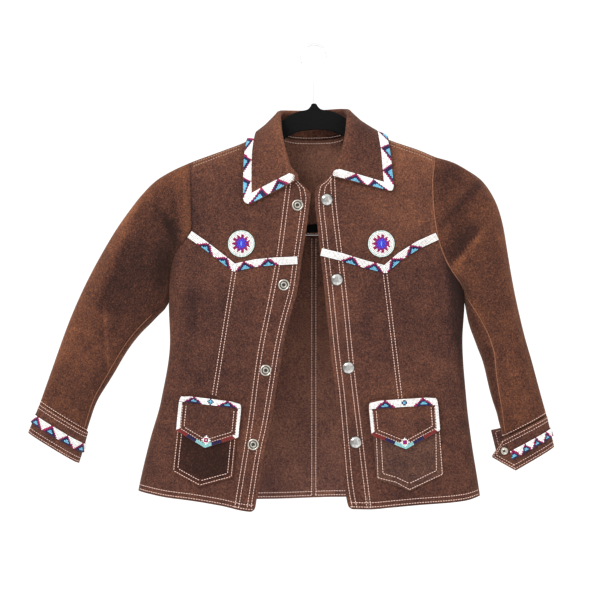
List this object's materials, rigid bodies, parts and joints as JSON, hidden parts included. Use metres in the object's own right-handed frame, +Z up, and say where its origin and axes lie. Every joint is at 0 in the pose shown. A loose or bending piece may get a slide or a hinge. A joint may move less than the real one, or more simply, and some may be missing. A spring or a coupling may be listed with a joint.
{
  "type": "beaded suede jacket on a hanger",
  "caption": "Child's brown suede western jacket with beaded collar, yokes, cuffs and pocket flaps, hung open on a flat black hanger",
  "frame": {"origin": "where the rail bears on the inside of the hook's top", "axes": "+Z up, +X to the right of someone facing the jacket's front, the front looks along -Y"},
  "size_m": [0.6571, 0.0907, 0.5818],
  "materials": {
    "suede": "matt napped suede",
    "suede_trim": "matt napped suede, two layers",
    "beadwork": "opaque glossy glass seed beads",
    "snap_metal": "worn plated metal",
    "hanger_black": "black flocking",
    "hook_steel": "polished wire"
  },
  "bodies": {
    "root": {"front_yoke_left": "suede", "front_yoke_right": "suede", "front_panel_left": "suede", "front_panel_right": "suede", "back_yoke": "suede", "back_panel_left": "suede", "back_panel_right": "suede", "sleeve_left": "suede", "sleeve_right": "suede", "collar": "suede", "pocket_left": "suede", "pocket_right": "suede", "front_band_left": "suede_trim", "front_band_right": "suede_trim", "cuff_left": "suede_trim", "cuff_right": "suede_trim", "pocket_flap_left": "suede_trim", "pocket_flap_right": "suede_trim", "collar_band": "beadwork", "yoke_band_left": "beadwork", "yoke_band_right": "beadwork", "cuff_band_left": "beadwork", "cuff_band_right": "beadwork", "flap_band_left": "beadwork", "flap_band_right": "beadwork", "flap_edging_left": "beadwork", "flap_edging_right": "beadwork", "rosette_left": "beadwork", "rosette_right": "beadwork", "snap_left_1": "snap_metal", "snap_left_2": "snap_metal", "snap_left_3": "snap_metal", "snap_left_4": "snap_metal", "snap_right_1": "snap_metal", "snap_right_2": "snap_metal", "snap_right_3": "snap_metal", "snap_right_4": "snap_metal", "snap_cuff_right": "snap_metal", "hanger": "hanger_black", "hanger_hook": "hook_steel"}
  },
  "joints": []
}
